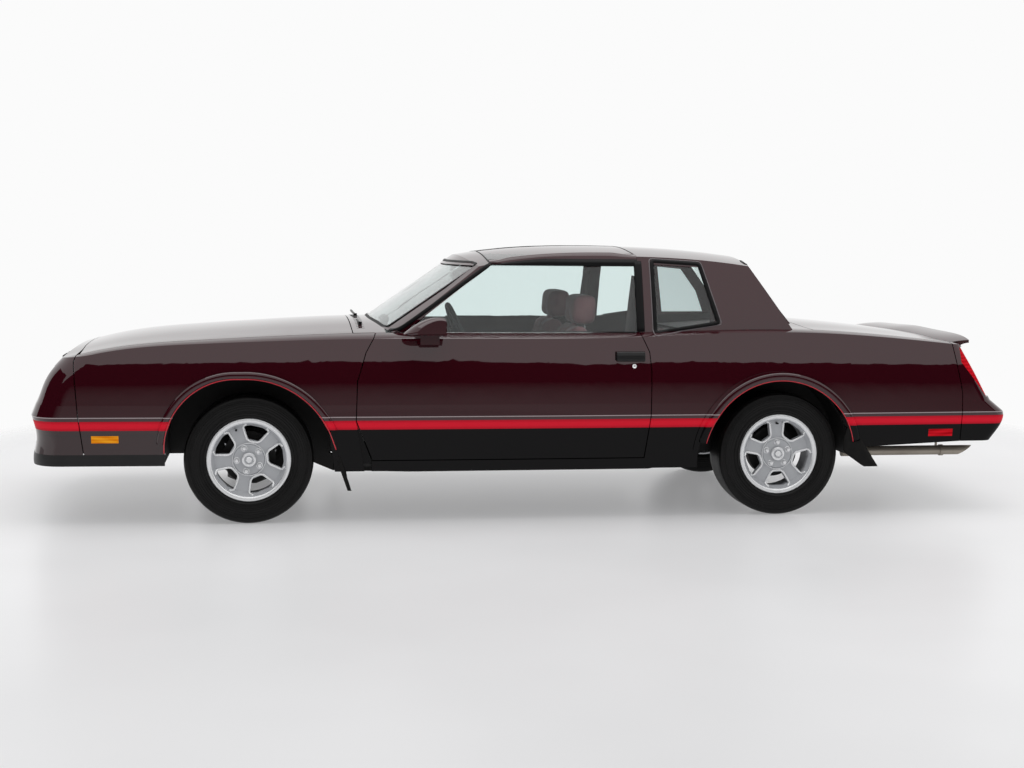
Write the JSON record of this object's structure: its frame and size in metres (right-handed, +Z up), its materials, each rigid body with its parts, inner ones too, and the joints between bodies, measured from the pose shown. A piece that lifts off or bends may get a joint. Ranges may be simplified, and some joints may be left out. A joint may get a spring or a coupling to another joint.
{
  "type": "two-door coupe",
  "caption": "Two-door notchback coupe with opening doors, hood and boot lid, lift-off roof panels, boot spoiler and free-rolling, steering wheels.",
  "frame": {"origin": "on the ground, midway between nose and tail and between the sides", "axes": "+X to the tail, +Y to the car's right-hand side, +Z up"},
  "size_m": [5.1409, 1.972, 1.397],
  "materials": {
    "paint": "gloss",
    "window_glass": "clear",
    "roof_glass": "tinted",
    "tyre_rubber": "matt",
    "cast_wheel": "painted and machined",
    "clear_lens": "fluted",
    "red_lens": "fluted",
    "amber_lens": "fluted",
    "chassis_steel": "satin black",
    "exhaust_steel": "dull",
    "seat_cloth": "velour",
    "floor_steel": "satin",
    "black_plastic": "satin"
  },
  "bodies": {
    "root": {"air_dam": "paint", "body_shell": "paint", "cabin_floor": "floor_steel", "chassis_frame": "chassis_steel", "dashboard": "black_plastic", "drive_shaft": "chassis_steel", "engine_block": "chassis_steel", "exhaust": "exhaust_steel", "firewall": "floor_steel", "front_fascia": "paint", "front_fender_left": "paint", "front_fender_right": "paint", "front_seat_left": "seat_cloth", "front_seat_right": "seat_cloth", "front_suspension": "chassis_steel", "fuel_tank": "chassis_steel", "grille": "black_plastic", "headlamps": "clear_lens", "mud_flaps": "black_plastic", "quarter_windows": "window_glass", "rear_axle": "chassis_steel", "rear_fascia": "paint", "rear_seat": "seat_cloth", "rear_window": "window_glass", "roof_panels": "roof_glass", "steering_column": "black_plastic", "tail_lamps": "red_lens", "trunk_floor": "floor_steel", "turn_lamps": "amber_lens", "wheel_housings": "floor_steel", "windshield": "window_glass", "wipers": "black_plastic"},
    "door_left": {"door_left": "paint", "door_glass_left": "window_glass", "door_handle_left": "black_plastic", "mirror_left": "paint"},
    "door_right": {"door_right": "paint", "door_glass_right": "window_glass", "door_handle_right": "black_plastic", "mirror_right": "paint"},
    "hood": {"hood": "paint"},
    "decklid": {"decklid": "paint", "spoiler": "paint"},
    "steering_wheel": {"steering_wheel": "black_plastic"},
    "steer_left": {"knuckle_left": "chassis_steel"},
    "steer_right": {"knuckle_right": "chassis_steel"},
    "wheel_front_left": {"wheel_front_left": "cast_wheel", "tyre_front_left": "tyre_rubber"},
    "wheel_front_right": {"wheel_front_right": "cast_wheel", "tyre_front_right": "tyre_rubber"},
    "wheel_rear_left": {"wheel_rear_left": "cast_wheel", "tyre_rear_left": "tyre_rubber"},
    "wheel_rear_right": {"wheel_rear_right": "cast_wheel", "tyre_rear_right": "tyre_rubber"}
  },
  "joints": [
    {"name": "door_left_hinge", "type": "hinge", "parent": "root", "child": "door_left", "pos_m": [-0.9215, -0.904, 0.62], "axis": [0, 0, -1], "range_deg": [0, 62]},
    {"name": "door_right_hinge", "type": "hinge", "parent": "root", "child": "door_right", "pos_m": [-0.9215, 0.904, 0.62], "axis": [0, 0, 1], "range_deg": [0, 62]},
    {"name": "hood_hinge", "type": "hinge", "parent": "root", "child": "hood", "pos_m": [-0.9315, 0, 0.9965], "axis": [0, 1, 0], "range_deg": [0, 50]},
    {"name": "decklid_hinge", "type": "hinge", "parent": "root", "child": "decklid", "pos_m": [1.4845, 0, 0.9965], "axis": [0, -1, 0], "range_deg": [0, 55]},
    {"name": "steer_left", "type": "hinge", "parent": "root", "child": "steer_left", "pos_m": [-1.452, -0.643, 0.322], "axis": [0, 0, 1], "range_deg": [-30, 30]},
    {"name": "steer_right", "type": "hinge", "parent": "root", "child": "steer_right", "pos_m": [-1.452, 0.643, 0.322], "axis": [0, 0, 1], "range_deg": [-30, 30]},
    {"name": "steering_wheel", "type": "hinge", "parent": "root", "child": "steering_wheel", "pos_m": [-0.3421, -0.385, 0.9078], "axis": [0.9272, 0, 0.3746], "range_deg": [-385, 385]},
    {"name": "spin_front_left", "type": "hinge", "parent": "steer_left", "child": "wheel_front_left", "pos_m": [-1.452, -0.743, 0.322], "axis": [0, 1, 0], "continuous": true},
    {"name": "spin_front_right", "type": "hinge", "parent": "steer_right", "child": "wheel_front_right", "pos_m": [-1.452, 0.743, 0.322], "axis": [0, 1, 0], "continuous": true},
    {"name": "spin_rear_left", "type": "hinge", "parent": "root", "child": "wheel_rear_left", "pos_m": [1.291, -0.734, 0.322], "axis": [0, 1, 0], "continuous": true},
    {"name": "spin_rear_right", "type": "hinge", "parent": "root", "child": "wheel_rear_right", "pos_m": [1.291, 0.734, 0.322], "axis": [0, 1, 0], "continuous": true}
  ],
  "couplings": [
    {"joint": "steer_right", "follows": "steer_left", "ratio": 1},
    {"joint": "steering_wheel", "follows": "steer_left", "ratio": 12.7}
  ]
}
